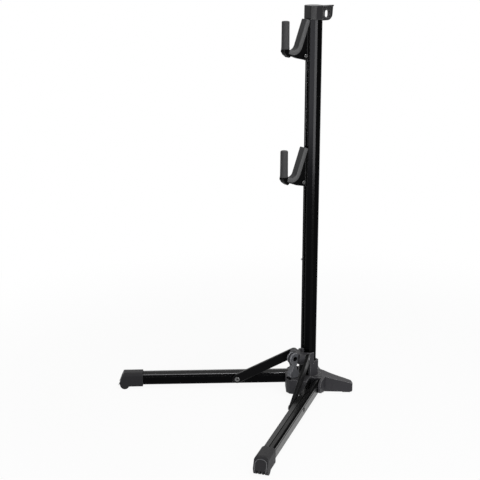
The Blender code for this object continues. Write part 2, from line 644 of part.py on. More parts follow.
def make_slider(carriage):
    x = TUBE_WIDTH / 2 + CLEARANCE + 0.0030
    y = TUBE_DEPTH / 2 + CLEARANCE
    edge_off = strut_off() + STRUT_THICKNESS / 2 + CLEARANCE
    shoulder_out = leg_place(1, STRUT_SLIDER_R + 0.0035, edge_off, 0)
    strut_back = STRUT_SLIDER_R - STRUT_DEPTH / 2 - CLEARANCE
    shoulder_back = leg_place(1, strut_back, edge_off, 0)
    wing = leg_place(1, strut_back, LEG_WIDTH / 2 + CLEARANCE * 4, 0)
    right = [(NOSE_HALF_WIDTH + 0.0040, -y - 0.0165), (shoulder_out.x, shoulder_out.y), (shoulder_back.x, shoulder_back.y),
             (wing.x, wing.y), (x, SLIDER_BACK - 0.008), (x, SLIDER_BACK)]
    plan = right + [(-a, b) for a, b in right[::-1]]
    slider = soften(prism("slider", [plan], SLIDER_BOTTOM, SLIDER_TOP, PLASTIC), 0.0008, 1, 50)
    catch_room = cylinder("catch_room", LATCH_RING_RADIUS + CLEARANCE, -half_catch() - CLEARANCE, half_catch() + CLEARANCE,
                          PLASTIC, along="X", sides=40)
    catch_room.location = (0, LATCH_PIN_Y, LATCH_PIN_Z)
    cut(slider, catch_room)
    nose = [(-y - 0.004, SLIDER_BOTTOM + 0.0015)] + arc(LATCH_PIN_Y, LATCH_PIN_Z, 0.0085, 250, 90, 8) \
        + [(-y - 0.004, LATCH_PIN_Z + 0.0085)]
    fuse(slider, prism("slider_nose", [nose], -NOSE_HALF_WIDTH, NOSE_HALF_WIDTH, PLASTIC, along="X"))
    fuse(slider, prism("slider_tab", [fillet([(-0.0022, -y - 0.0050, 0.0015), (0.0046, -y - 0.0050, 0.0015),
                                              (0.0046, -y), (-0.0022, -y)], 3)], SLIDER_TOP - 0.002, TAB_TOP, PLASTIC))
    for side in (-1, 1):
        name = "left" if side < 0 else "right"
        inner = -side * (STRUT_THICKNESS / 2 + CLEARANCE * 2)
        far = inner - side * 0.0110
        barrel = cylinder("slider_knuckle_" + name, STRUT_DEPTH / 2 - 0.0003, min(inner, far), max(inner, far), PLASTIC,
                          along="Y", sides=24)
        bore = cylinder("slider_pin_bore_" + name, STRUT_PIN_RADIUS + CLEARANCE, -0.013, 0.013, PLASTIC, along="Y",
                        sides=18)
        for item in (barrel, bore):
            item.location = knuckle_axis(side)
            item.rotation_euler.z = leg_turn(side)
        fuse(slider, barrel)
        cut(slider, bore)
    neck = SLOT_WIDTH / 2 - CLEARANCE
    pocket = SLOT_POCKET_WIDTH / 2 - CLEARANCE
    front = -TUBE_DEPTH / 2
    lip = front + SLOT_LIP + CLEARANCE
    floor = lip + SLOT_POCKET_DEPTH - 2 * CLEARANCE
    key = [(-neck, -y), (-neck, lip), (-pocket, lip), (-pocket, floor), (pocket, floor), (pocket, lip), (neck, lip),
           (neck, -y)]
    channel = tube_outline(CLEARANCE)
    cut(slider, prism("slider_channel", [channel[:1] + key + channel[1:]], 0.05, 0.11, PLASTIC))
    pin_bore = cylinder("latch_pin_bore", LATCH_PIN_RADIUS + CLEARANCE, -0.01, 0.01, PLASTIC, along="X", sides=18)
    pin_bore.location = (0, LATCH_PIN_Y, LATCH_PIN_Z)
    cut(slider, pin_bore)
    return ride(slider, carriage)


def make_latch(frame):
    """The figure-of-eight catch: a fork of two plates round the slider's nose over one solid lobe."""
    outer = half_catch()
    top, low = LATCH_RING_RADIUS, LATCH_LOBE_RADIUS
    waist = LATCH_LENGTH * 0.48
    outline = arc(0, 0, top, -52, 232, 18)
    outline += [(-LATCH_WAIST, -waist)] + arc(0, -LATCH_LENGTH, low, 128, 412, 18) + [(LATCH_WAIST, -waist)]
    latch = soften(prism("latch", [outline], -outer, outer, LATCH_GREY, along="X"), 0.0009, 2, 50)
    gap = NOSE_HALF_WIDTH + CLEARANCE
    fork = prism("latch_fork", [[(-0.03, -0.0150), (0.03, -0.0150), (0.03, 0.03), (-0.03, 0.03)]], -gap, gap, LATCH_GREY,
                 along="X")
    fork.parent = frame
    cut(latch, fork)
    bore = cylinder("latch_bore", LATCH_PIN_RADIUS + CLEARANCE, -0.02, 0.02, LATCH_GREY, along="X", sides=18)
    bore.parent = frame
    cut(latch, bore)
    return ride(latch, frame)


def make_latch_pin(carriage):
    reach = half_catch()
    pin = cylinder("latch_pin", LATCH_PIN_RADIUS, -reach, reach, BLACK_STEEL, along="X", sides=18)
    socket = cylinder("latch_pin_hex", 0.0017, reach - 0.0015, reach + 0.002, BLACK_STEEL, along="X", sides=6)
    for item in (pin, socket):
        item.location = (0, LATCH_PIN_Y, LATCH_PIN_Z)
    cut(pin, socket)
    return ride(pin, carriage)


def make_stop_screw():
    front = -TUBE_DEPTH / 2
    screw = cylinder("stop_screw", STOP_SCREW_RADIUS, front - 0.0016 - CLEARANCE, front - CLEARANCE, ZINC, along="Y",
                     sides=16)
    slot = box("stop_screw_slot", (-0.0018, 0.0018), (-0.0004, 0.0004), (-0.0012, 0.0), ZINC)
    slot.rotation_euler.x = math.pi / 2
    slot.location = (STOP_SCREW_X, front - 0.0016 - CLEARANCE - 0.0004, STOP_SCREW_Z)
    screw.location = (STOP_SCREW_X, 0, STOP_SCREW_Z)
    cut(screw, slot)
    return screw


def rear_feet_outline():
    """The plan of both short rear feet, a Y that spreads from the upright to two rounded tips."""
    root, tip = Vector(ARM_ROOT), Vector(ARM_TIP)
    along = (tip - root).normalized()
    across = Vector((-along.y, along.x))
    inner_tip = tip + across * ARM_WIDTH * 0.72 + along * 0.002
    inner_mid = root + along * 0.028 + across * ARM_WIDTH * 1.18
    start = root - along * 0.0125
    right = [(start.x, start.y), (tip.x, tip.y, 0.004), (inner_tip.x, inner_tip.y, 0.008),
             (inner_mid.x, inner_mid.y, 0.010)]
    left = [(-p[0], *p[1:]) for p in right[::-1]]
    return fillet(right + [(0.0, 0.0350, 0.006)] + left, 3)


def make_hub():
    slot_off = LEG_WIDTH / 2 + CLEARANCE * 2
    s1 = leg_place(1, HUB_SHOULDER_R, slot_off, 0)
    s2 = leg_place(1, LEG_PIVOT_R - 0.026, slot_off, 0)
    right = [(HUB_NOSE_HALF, HUB_NOSE_Y, 0.0015), (s1.x, s1.y, 0.002), (s2.x, s2.y), (0.0200, 0.0115), (0.0150, 0.0250)]
    plan = right + [(-p[0], *p[1:]) for p in right[::-1]]
    hub = soften(prism("base_hub", [fillet(plan, 2)], HUB_BOTTOM, HUB_TOP, PLASTIC), 0.0009, 1, 50)
    feet = soften(prism("hub_rear_feet", [rear_feet_outline()], PAD_SOLE, HUB_TOP - 0.0005, PLASTIC), 0.0012, 1, 50)
    root, tip = Vector(ARM_ROOT), Vector(ARM_TIP)
    length = (tip - root).length
    run = [(-0.030, HUB_TOP + 0.0012), (0.0, HUB_TOP)]
    run += [(length * t, HUB_TOP + (ARM_TIP_HEIGHT - HUB_TOP) * (t ** 0.85)) for t in (0.25, 0.5, 0.75)]
    run += [(length - 0.002, ARM_TIP_HEIGHT), (length + 0.003, ARM_TIP_HEIGHT - 0.006), (length + 0.005, 0.004),
            (length + 0.030, 0.004), (length + 0.030, 0.060), (-0.030, 0.060)]
    for side in (-1, 1):
        shave = prism("rear_foot_top_%d" % side, [run], -0.05, 0.05, PLASTIC, along="Y")
        shave.location = (side * root.x, root.y, 0)
        shave.rotation_euler.z = math.atan2(tip.y - root.y, side * (tip.x - root.x))
        cut(feet, shave)
    fuse(hub, feet)
    ear_off = slot_off + EAR_THICKNESS
    for side in (-1, 1):
        name = "left" if side < 0 else "right"
        bottom = HUB_BOTTOM - LEG_PIVOT_Z + 0.0008
        ear = arc(0, 0, EAR_RADIUS, 90, -90, 10) + [(-0.0280, bottom), (-0.0280, EAR_RADIUS)]
        low, high = sorted((side * slot_off, side * ear_off))
        plate = prism("hub_ear_" + name, [ear], low, high, PLASTIC, along="Y")
        span = sorted((side * (ear_off - 0.0004), -side * (slot_off + 0.0030)))
        back, front = -0.0274, -EAR_RADIUS - CLEARANCE
        bridge = prism("hub_bridge_" + name, [[(back, span[0]), (front, span[0]), (front, span[1]), (back, span[1])]],
                       bottom - 0.0004, EAR_RADIUS - 0.0004, PLASTIC)
        pin_hole = cylinder("hub_pin_hole_" + name, LEG_PIN_RADIUS + CLEARANCE, -0.0195, 0.0195, PLASTIC, along="Y",
                            sides=20)
        for item in (plate, bridge, pin_hole):
            item.location = leg_place(side, LEG_PIVOT_R, 0, LEG_PIVOT_Z)
            item.rotation_euler.z = leg_turn(side)
        fuse(hub, bridge)
        fuse(hub, plate)
        cut(hub, pin_hole)
    x = TUBE_WIDTH / 2 + CLEARANCE + COLLAR_WALL
    y = TUBE_DEPTH / 2 + CLEARANCE + COLLAR_WALL
    c = TUBE_CHAMFER
    collar = prism("hub_collar", [[(x, COLLAR_FRONT_Y), (x, y - c), (x - c, y), (-x + c, y), (-x, y - c),
                                   (-x, COLLAR_FRONT_Y)]], HUB_TOP - 0.004, COLLAR_TOP, PLASTIC)
    fuse(hub, soften(collar, 0.0008, 1, 50))
    cut(hub, prism("hub_socket", [tube_outline(CLEARANCE)], TUBE_FOOT - CLEARANCE, 0.10, PLASTIC))
    cut(hub, box("slider_seat", (-0.03, 0.03), (-0.03, SLIDER_BACK + CLEARANCE), (SLIDER_BOTTOM - CLEARANCE, 0.08),
                 PLASTIC))
    sweep = LATCH_LENGTH + LATCH_LOBE_RADIUS + 0.0008
    recess = cylinder("latch_recess", sweep, -0.0078, 0.0078, PLASTIC, along="X", sides=64)
    recess.location = (0, LATCH_PIN_Y, LATCH_PIN_Z)
    cut(hub, recess)
    well = cylinder("base_bolt_well", 0.0062, -0.01, TUBE_FOOT - 0.0030, PLASTIC, sides=20)
    shank = cylinder("base_bolt_hole", 0.0033, -0.01, TUBE_FOOT + 0.002, PLASTIC, sides=18)
    for item in (well, shank):
        item.location = (0, 0.0030, 0)
        cut(hub, item)
    return hub


def make_sole(side):
    name = "left" if side < 0 else "right"
    root, tip = Vector(ARM_ROOT), Vector(ARM_TIP)
    along = (tip - root).normalized()
    across = Vector((-along.y, along.x))
    middle = tip - along * (SOLE_LENGTH / 2 + 0.004) + across * ARM_WIDTH * 0.42
    sole = soften(box("rear_sole_" + name, (-SOLE_LENGTH / 2, SOLE_LENGTH / 2), (-0.0055, 0.0055),
                      (0.0, PAD_SOLE - CLEARANCE), RUBBER), 0.0004, 1)
    sole.location = (side * middle.x, middle.y, 0)
    sole.rotation_euler.z = math.atan2(along.y, side * along.x)
    return sole


def make_tube_fixing():
    """The plug inside the upright's foot and the bolt that pulls it down into the hub."""
    web = -TUBE_DEPTH / 2 + SLOT_LIP + SLOT_POCKET_DEPTH + TUBE_WALL + CLEARANCE
    back = TUBE_DEPTH / 2 - TUBE_WALL - CLEARANCE
    half = TUBE_WIDTH / 2 - TUBE_WALL - CLEARANCE
    c = TUBE_CHAMFER * 0.8
    plug = prism("tube_plug", [bore_outline(web, half, back, c)], TUBE_FOOT + CLEARANCE, TUBE_FOOT + 0.024, PLASTIC)
    bore = cylinder("tube_plug_bore", 0.0025 + CLEARANCE, 0.0, 0.030, PLASTIC, sides=18)
    bore.location.y = 0.0030
    cut(plug, bore)
    bolt = cylinder("base_bolt", 0.0025, TUBE_FOOT - 0.0045, 0.0290, ZINC, sides=18)
    head = cylinder("base_bolt_head", 0.0050, TUBE_FOOT - 0.0065, TUBE_FOOT - 0.0032, ZINC, sides=20)
    driver = cylinder("base_bolt_hex", 0.0022, 0.0, TUBE_FOOT - 0.0048, ZINC, sides=6)
    for item in (bolt, head, driver):
        item.location.y = 0.0030
    fuse(bolt, head)
    cut(bolt, driver)
    return plug, bolt


def make_leg_assembly(side, carriage):
    name = "left" if side < 0 else "right"
    hinge = joint_empty("leg_hinge_" + name, leg_place(side, LEG_PIVOT_R, 0, LEG_PIVOT_Z), leg_turn(side), LEG_DROP)
    make_leg(side, hinge)
    make_foot_cap(side, hinge)
    make_strut_nut(side, hinge)
    level = joint_empty("leg_pin_axis_" + name, leg_place(side, LEG_PIVOT_R, 0, LEG_PIVOT_Z), leg_turn(side))
    make_leg_pin(side, level)
    run = LEG_PIVOT_R + math.cos(LEG_DROP) * STRUT_LEG_REACH - STRUT_SLIDER_R
    fall = STRUT_SLIDER_Z - LEG_PIVOT_Z + math.sin(LEG_DROP) * STRUT_LEG_REACH
    length = math.hypot(run, fall)
    strut_axis = joint_empty("strut_hinge_" + name, knuckle_axis(side), leg_turn(side), math.atan2(fall, run))
    make_strut(side, strut_axis, length)
    make_strut_screw(side, strut_axis, length)
    pin_axis = joint_empty("strut_pin_axis_" + name, knuckle_axis(side), leg_turn(side))
    make_strut_pin(side, pin_axis)


make_upright()
make_top_cap()
make_hub()
make_tube_fixing()
make_stop_screw()
for place in (-1, 1):
    make_sole(place)
slider_axis = joint_empty("slider_axis", (0, 0, 0))
make_slider(slider_axis)
make_latch_pin(slider_axis)
make_latch(joint_empty("latch_axis", (0, LATCH_PIN_Y, LATCH_PIN_Z)))
for place in (-1, 1):
    make_leg_assembly(place, slider_axis)
upper_trough = STAND_HEIGHT - UPPER_HOOK_DROP
make_hook("upper", upper_trough, joint_empty("upper_hook_axis", (0, 0, 0)))
make_hook("lower", upper_trough - HOOK_SPACING, joint_empty("lower_hook_axis", (0, 0, 0)))
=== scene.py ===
"""Portable bike stand, dressed over its CAD frame: materials, soft covers and small fittings, camera and studio."""
import math

import bmesh
import bpy
from mathutils import Matrix, Vector


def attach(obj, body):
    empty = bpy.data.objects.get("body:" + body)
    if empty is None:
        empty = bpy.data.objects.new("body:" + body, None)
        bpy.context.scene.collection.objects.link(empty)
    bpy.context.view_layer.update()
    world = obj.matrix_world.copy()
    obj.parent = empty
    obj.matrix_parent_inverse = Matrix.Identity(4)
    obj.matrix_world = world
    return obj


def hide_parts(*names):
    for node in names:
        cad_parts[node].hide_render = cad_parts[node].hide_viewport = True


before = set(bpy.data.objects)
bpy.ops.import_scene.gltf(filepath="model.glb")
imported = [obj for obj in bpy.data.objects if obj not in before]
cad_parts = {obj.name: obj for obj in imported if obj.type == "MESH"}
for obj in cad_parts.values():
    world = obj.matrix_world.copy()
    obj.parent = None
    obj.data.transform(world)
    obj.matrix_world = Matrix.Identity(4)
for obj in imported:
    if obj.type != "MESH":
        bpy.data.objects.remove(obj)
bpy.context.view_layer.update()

# Camera: a long lens from the front right of the stand, a little above its top and tipped down, so the upright
# stands left of the rear foot and both legs open toward the viewer.
FOCAL_LENGTH = 84.11
SENSOR_WIDTH = 36.0
CAMERA_PLACE = (1.64657, -1.37368, 0.94058)
CAMERA_TURN = math.radians(53.87)
CAMERA_DIP = math.radians(16.126)

lens = bpy.data.cameras.new("photo_lens")
lens.lens = FOCAL_LENGTH
lens.sensor_width = SENSOR_WIDTH
camera = bpy.data.objects.new("photo_camera", lens)
bpy.context.scene.collection.objects.link(camera)
camera.location = CAMERA_PLACE
level_part = math.cos(CAMERA_DIP)
sight = Vector((-math.sin(CAMERA_TURN) * level_part, math.cos(CAMERA_TURN) * level_part, -math.sin(CAMERA_DIP)))
camera.rotation_euler = sight.to_track_quat("-Z", "Y").to_euler()
bpy.context.scene.camera = camera
bpy.context.scene.view_settings.view_transform = "Standard"

# Studio: a pale floor under a white surround, with a tall narrow softbox at the right, a shorter one near the
# camera and a square one above. The surround is white to the eye and in reflections, and weaker as a light.
SURROUND_AS_LIGHT = 0.22
SURROUND_IN_VIEW = 1.0
FLOOR_HALF_WIDTH = 8.0
FLOOR_DROP = 0.0002
FLOOR_GLOW_AT_STAND = 0.93
GLOW_GROWS_FROM = 0.45
GLOW_FULL_AT = 1.10


def in_view(tree):
    """A value of one for the eye, reflections and glass, and of nought for light on its way to other surfaces."""
    ray = tree.nodes.new("ShaderNodeLightPath")
    direct = tree.nodes.new("ShaderNodeMath")
    direct.operation = "MAXIMUM"
    tree.links.new(ray.outputs["Is Camera Ray"], direct.inputs[0])
    tree.links.new(ray.outputs["Is Glossy Ray"], direct.inputs[1])
    any_view = tree.nodes.new("ShaderNodeMath")
    any_view.operation = "MAXIMUM"
    tree.links.new(direct.outputs[0], any_view.inputs[0])
    tree.links.new(ray.outputs["Is Transmission Ray"], any_view.inputs[1])
    return any_view.outputs[0]


world = bpy.data.worlds.new("white_surround")
bpy.context.scene.world = world
world.use_nodes = True
surround = world.node_tree.nodes["Background"]
surround.inputs["Color"].default_value = (1.0, 1.0, 1.0, 1.0)
strength = world.node_tree.nodes.new("ShaderNodeMapRange")
strength.inputs["To Min"].default_value = SURROUND_AS_LIGHT
strength.inputs["To Max"].default_value = SURROUND_IN_VIEW
world.node_tree.links.new(in_view(world.node_tree), strength.inputs["Value"])
world.node_tree.links.new(strength.outputs["Result"], surround.inputs["Strength"])


def softbox(name, place, aim, width, height, power):
    """A flat soft lamp that faces a point of the stand."""
    lamp = bpy.data.lights.new(name, "AREA")
    lamp.shape = "RECTANGLE"
    lamp.size = width
    lamp.size_y = height
    lamp.energy = power
    item = bpy.data.objects.new(name, lamp)
    bpy.context.scene.collection.objects.link(item)
    item.location = place
    item.rotation_euler = (Vector(aim) - Vector(place)).to_track_quat("-Z", "Y").to_euler()


softbox("facet_softbox", place=(1.99, -0.60, 0.42), aim=(0.0, 0.0, 0.42), width=0.20, height=1.10, power=15.0)
softbox("front_softbox", place=(1.42, -1.47, 0.42), aim=(0.0, 0.0, 0.42), width=0.30, height=0.62, power=8.5)
softbox("top_softbox", place=(0.80, 0.10, 2.30), aim=(0.0, -0.05, 0.30), width=0.70, height=0.70, power=24.0)

floor_mesh = bpy.data.meshes.new("studio_floor")
work = bmesh.new()
bmesh.ops.create_grid(work, x_segments=1, y_segments=1, size=FLOOR_HALF_WIDTH)
work.to_mesh(floor_mesh)
work.free()
studio_floor = bpy.data.objects.new("studio_floor", floor_mesh)
bpy.context.scene.collection.objects.link(studio_floor)
studio_floor.location.z = -FLOOR_DROP

# The floor's own white shows to the eye and in reflections; close to the stand some of its shadow shows through.
pale = bpy.data.materials.new("pale_floor")
pale.use_nodes = True
pale_nodes = pale.node_tree.nodes
pale_link = pale.node_tree.links.new
paint = pale_nodes["Principled BSDF"]
paint.inputs["Base Color"].default_value = (0.90, 0.90, 0.90, 1.0)
paint.inputs["Roughness"].default_value = 0.9
paint.inputs["Specular IOR Level"].default_value = 0.1
backdrop = pale_nodes.new("ShaderNodeEmission")
blend = pale_nodes.new("ShaderNodeMixShader")
spot = pale_nodes.new("ShaderNodeTexCoord")
away = pale_nodes.new("ShaderNodeVectorMath")
away.operation = "LENGTH"
fade = pale_nodes.new("ShaderNodeMapRange")
fade.interpolation_type = "SMOOTHSTEP"
fade.inputs["From Min"].default_value = GLOW_GROWS_FROM
fade.inputs["From Max"].default_value = GLOW_FULL_AT
fade.inputs["To Min"].default_value = FLOOR_GLOW_AT_STAND
fade.inputs["To Max"].default_value = 1.0
whiten = pale_nodes.new("ShaderNodeMath")
whiten.operation = "MULTIPLY"
pale_link(spot.outputs["Object"], away.inputs[0])
pale_link(away.outputs["Value"], fade.inputs["Value"])
pale_link(in_view(pale.node_tree), whiten.inputs[0])
pale_link(fade.outputs["Result"], whiten.inputs[1])
pale_link(whiten.outputs[0], blend.inputs["Fac"])
pale_link(paint.outputs["BSDF"], blend.inputs[1])
pale_link(backdrop.outputs["Emission"], blend.inputs[2])
pale_link(blend.outputs["Shader"], pale_nodes["Material Output"].inputs["Surface"])
floor_mesh.materials.append(pale)

# Base hub: one injection moulding in charcoal nylon with a fine spark-eroded grain. Its collar grips the
# upright, two ears on each side carry the leg pins, and two short feet reach back.
FLOAT = "NodeSocketFloat"
VECTOR = "NodeSocketVector"
DUST_COLOUR = (0.30, 0.29, 0.28, 1.0)
# The near-black that closed-in points are painted towards: painted shade.
CAVITY_SHADE_COLOUR = (0.0015, 0.0015, 0.0016, 1.0)
DRAWN_STRETCH = 0.012
ROUGHNESS_SWING = 0.15
MERGE_DISTANCE = 0.000002
FLAT_FACE_WEIGHT = 80


def node_group(name, sockets_in, sockets_out):
    """A shader group with named float, vector or colour sockets."""
    group = bpy.data.node_groups.new(name, "ShaderNodeTree")
    for label, kind, value in sockets_in:
        socket = group.interface.new_socket(label, in_out="INPUT", socket_type=kind)
        if value is not None:
            socket.default_value = value
    for label, kind in sockets_out:
        group.interface.new_socket(label, in_out="OUTPUT", socket_type=kind)
    return group, group.nodes.new("NodeGroupInput"), group.nodes.new("NodeGroupOutput")


# Moulded grain: a fine height for the bump and a slow drift of tone.
grain_group, grain_in, grain_out = node_group(
    "moulded_grain", [("Place", VECTOR, None), ("Cells per metre", FLOAT, 900.0)],
    [("Height", FLOAT), ("Tone", FLOAT)])
fine = grain_group.nodes.new("ShaderNodeTexNoise")
fine.inputs["Detail"].default_value = 3.0
slow = grain_group.nodes.new("ShaderNodeTexNoise")
slow.inputs["Scale"].default_value = 38.0
slow.inputs["Detail"].default_value = 2.0
grain_group.links.new(grain_in.outputs["Place"], fine.inputs["Vector"])
grain_group.links.new(grain_in.outputs["Cells per metre"], fine.inputs["Scale"])
grain_group.links.new(grain_in.outputs["Place"], slow.inputs["Vector"])
grain_group.links.new(fine.outputs["Fac"], grain_out.inputs["Height"])
grain_group.links.new(slow.outputs["Fac"], grain_out.inputs["Tone"])

# Edge wear and painted highlight: where a rounded normal leaves the face's own, broken up into patches. The mask
# lightens edges, partly as real wear and partly as a painted highlight along them.
wear_and_highlight_group, wear_in, wear_out = node_group(
    "edge_wear_and_highlight", [("Place", VECTOR, None), ("Radius", FLOAT, 0.0008), ("Amount", FLOAT, 1.0)], [("Mask", FLOAT)])
rounded = wear_and_highlight_group.nodes.new("ShaderNodeBevel")
rounded.samples = 4
flat = wear_and_highlight_group.nodes.new("ShaderNodeNewGeometry")
agree = wear_and_highlight_group.nodes.new("ShaderNodeVectorMath")
agree.operation = "DOT_PRODUCT"
edge = wear_and_highlight_group.nodes.new("ShaderNodeMapRange")
edge.inputs["From Min"].default_value = 0.995
edge.inputs["From Max"].default_value = 0.80
patch = wear_and_highlight_group.nodes.new("ShaderNodeTexNoise")
patch.inputs["Scale"].default_value = 260.0
patch.inputs["Detail"].default_value = 4.0
broken = wear_and_highlight_group.nodes.new("ShaderNodeMapRange")
broken.inputs["From Min"].default_value = 0.40
broken.inputs["From Max"].default_value = 0.62
broken.inputs["To Min"].default_value = 0.5
patchy_edges = wear_and_highlight_group.nodes.new("ShaderNodeMath")
patchy_edges.operation = "MULTIPLY"
amount = wear_and_highlight_group.nodes.new("ShaderNodeMath")
amount.operation = "MULTIPLY"
wear_and_highlight_group.links.new(wear_in.outputs["Radius"], rounded.inputs["Radius"])
wear_and_highlight_group.links.new(rounded.outputs["Normal"], agree.inputs[0])
wear_and_highlight_group.links.new(flat.outputs["Normal"], agree.inputs[1])
wear_and_highlight_group.links.new(agree.outputs["Value"], edge.inputs["Value"])
wear_and_highlight_group.links.new(wear_in.outputs["Place"], patch.inputs["Vector"])
wear_and_highlight_group.links.new(patch.outputs["Fac"], broken.inputs["Value"])
wear_and_highlight_group.links.new(edge.outputs["Result"], patchy_edges.inputs[0])
wear_and_highlight_group.links.new(broken.outputs["Result"], patchy_edges.inputs[1])
wear_and_highlight_group.links.new(patchy_edges.outputs[0], amount.inputs[0])
wear_and_highlight_group.links.new(wear_in.outputs["Amount"], amount.inputs[1])
wear_and_highlight_group.links.new(amount.outputs[0], wear_out.inputs["Mask"])

# Dust film: thin clouds on the faces that look up.
dust_group, dust_in, dust_out = node_group(
    "dust_film", [("Place", VECTOR, None), ("Amount", FLOAT, 0.10)], [("Mask", FLOAT)])
facing = dust_group.nodes.new("ShaderNodeNewGeometry")
split = dust_group.nodes.new("ShaderNodeSeparateXYZ")
upward = dust_group.nodes.new("ShaderNodeMapRange")
upward.inputs["From Min"].default_value = 0.35
cloud = dust_group.nodes.new("ShaderNodeTexNoise")
cloud.inputs["Scale"].default_value = 70.0
cloud.inputs["Detail"].default_value = 5.0
settled = dust_group.nodes.new("ShaderNodeMath")
settled.operation = "MULTIPLY"
thin = dust_group.nodes.new("ShaderNodeMath")
thin.operation = "MULTIPLY"
dust_group.links.new(facing.outputs["Normal"], split.inputs[0])
dust_group.links.new(split.outputs["Z"], upward.inputs["Value"])
dust_group.links.new(dust_in.outputs["Place"], cloud.inputs["Vector"])
dust_group.links.new(upward.outputs["Result"], settled.inputs[0])
dust_group.links.new(cloud.outputs["Fac"], settled.inputs[1])
dust_group.links.new(settled.outputs[0], thin.inputs[0])
dust_group.links.new(dust_in.outputs["Amount"], thin.inputs[1])
dust_group.links.new(thin.outputs[0], dust_out.inputs["Mask"])

# Painted cavity shade: how open a point is to what lies round it. Points closed in by nearby surfaces are painted
# dark, as shade in recesses, creases and between parts.
cavity_shade_group, cavity_in, cavity_out = node_group(
    "painted_cavity_shade", [("Reach", FLOAT, 0.004)], [("Openness", FLOAT)])
shelter = cavity_shade_group.nodes.new("ShaderNodeAmbientOcclusion")
shelter.samples = 6
open_part = cavity_shade_group.nodes.new("ShaderNodeMapRange")
open_part.inputs["From Min"].default_value = 0.25
open_part.inputs["From Max"].default_value = 0.80
cavity_shade_group.links.new(cavity_in.outputs["Reach"], shelter.inputs["Distance"])
cavity_shade_group.links.new(shelter.outputs["AO"], open_part.inputs["Value"])
cavity_shade_group.links.new(open_part.outputs["Result"], cavity_out.inputs["Openness"])


def finish(name, colour, roughness, metallic=0.0, specular=0.5, wear_and_highlight_colour=(0.2, 0.2, 0.2), wear_and_highlight=0.3,
           dust=0.08, grain=900.0, depth=0.00004, rounding=0.0005, tone=0.12, lines=None, reach=0.004,
           band=0.0008, gloss=1.0):
    """A surface finish: grain, slow tone variation, edges lightened as wear and as painted highlight, dust, and
    painted shade in cavities over a Principled shader.

    lines is the direction that an extrusion was drawn in; its fine lines then take the place of the grain.
    gloss below one takes the shine off at low angles too; at nought no reflection is left, and the black stands in
    for shade in grooves and recesses.
    """
    material = bpy.data.materials.new(name)
    material.use_nodes = True
    tree = material.node_tree
    link = tree.links.new
    shader = tree.nodes["Principled BSDF"]
    shader.inputs["Metallic"].default_value = metallic
    shader.inputs["Specular IOR Level"].default_value = specular
    shader.inputs["Specular Tint"].default_value = (gloss, gloss, gloss, 1.0)
    place = tree.nodes.new("ShaderNodeTexCoord").outputs["Object"]
    surface = tree.nodes.new("ShaderNodeGroup")
    surface.node_tree = grain_group
    surface.inputs["Cells per metre"].default_value = grain
    grain_place = place
    if lines is not None:
        stretch = tree.nodes.new("ShaderNodeMapping")
        stretch.inputs["Rotation"].default_value = Vector(lines).to_track_quat("Z", "Y").inverted().to_euler()
        stretch.inputs["Scale"].default_value = (1.0, 1.0, DRAWN_STRETCH)
        link(place, stretch.inputs["Vector"])
        grain_place = stretch.outputs["Vector"]
    link(grain_place, surface.inputs["Place"])
    shade = tree.nodes.new("ShaderNodeMapRange")
    shade.inputs["To Min"].default_value = 1.0 - tone
    shade.inputs["To Max"].default_value = 1.0 + tone
    link(surface.outputs["Tone"], shade.inputs["Value"])
    body = tree.nodes.new("ShaderNodeMix")
    body.data_type = "RGBA"
    body.blend_type = "MULTIPLY"
    body.inputs["Factor"].default_value = 1.0
    body.inputs["A"].default_value = (*colour, 1.0)
    link(shade.outputs["Result"], body.inputs["B"])
    edges = tree.nodes.new("ShaderNodeGroup")
    edges.node_tree = wear_and_highlight_group
    edges.inputs["Amount"].default_value = wear_and_highlight
    edges.inputs["Radius"].default_value = band
    link(grain_place, edges.inputs["Place"])
    # Edges are mixed towards a lighter colour: partly real wear, partly a painted highlight.
    worn_and_lit = tree.nodes.new("ShaderNodeMix")
    worn_and_lit.data_type = "RGBA"
    worn_and_lit.inputs["B"].default_value = (*wear_and_highlight_colour, 1.0)
    link(edges.outputs["Mask"], worn_and_lit.inputs["Factor"])
    link(body.outputs["Result"], worn_and_lit.inputs["A"])
    film = tree.nodes.new("ShaderNodeGroup")
    film.node_tree = dust_group
    film.inputs["Amount"].default_value = dust
    link(place, film.inputs["Place"])
    dusty = tree.nodes.new("ShaderNodeMix")
    dusty.data_type = "RGBA"
    dusty.inputs["B"].default_value = DUST_COLOUR
    link(film.outputs["Mask"], dusty.inputs["Factor"])
    link(worn_and_lit.outputs["Result"], dusty.inputs["A"])
    # Painted shade: closed-in points, in recesses and between parts, are mixed towards near-black.
    cavity_shade = tree.nodes.new("ShaderNodeGroup")
    cavity_shade.node_tree = cavity_shade_group
    cavity_shade.inputs["Reach"].default_value = reach
    shaded_cavities = tree.nodes.new("ShaderNodeMix")
    shaded_cavities.data_type = "RGBA"
    shaded_cavities.inputs["A"].default_value = CAVITY_SHADE_COLOUR
    link(cavity_shade.outputs["Openness"], shaded_cavities.inputs["Factor"])
    link(dusty.outputs["Result"], shaded_cavities.inputs["B"])
    link(shaded_cavities.outputs["Result"], shader.inputs["Base Color"])
    polish = tree.nodes.new("ShaderNodeMapRange")
    polish.inputs["To Min"].default_value = roughness * (1.0 - ROUGHNESS_SWING)
    polish.inputs["To Max"].default_value = roughness * (1.0 + ROUGHNESS_SWING)
    link(surface.outputs["Tone"], polish.inputs["Value"])
    link(polish.outputs["Result"], shader.inputs["Roughness"])
    soft = tree.nodes.new("ShaderNodeBevel")
    soft.samples = 4
    soft.inputs["Radius"].default_value = rounding
    bump = tree.nodes.new("ShaderNodeBump")
    bump.inputs["Distance"].default_value = depth
    link(surface.outputs["Height"], bump.inputs["Height"])
    link(soft.outputs["Normal"], bump.inputs["Normal"])
    link(bump.outputs["Normal"], shader.inputs["Normal"])
    return material


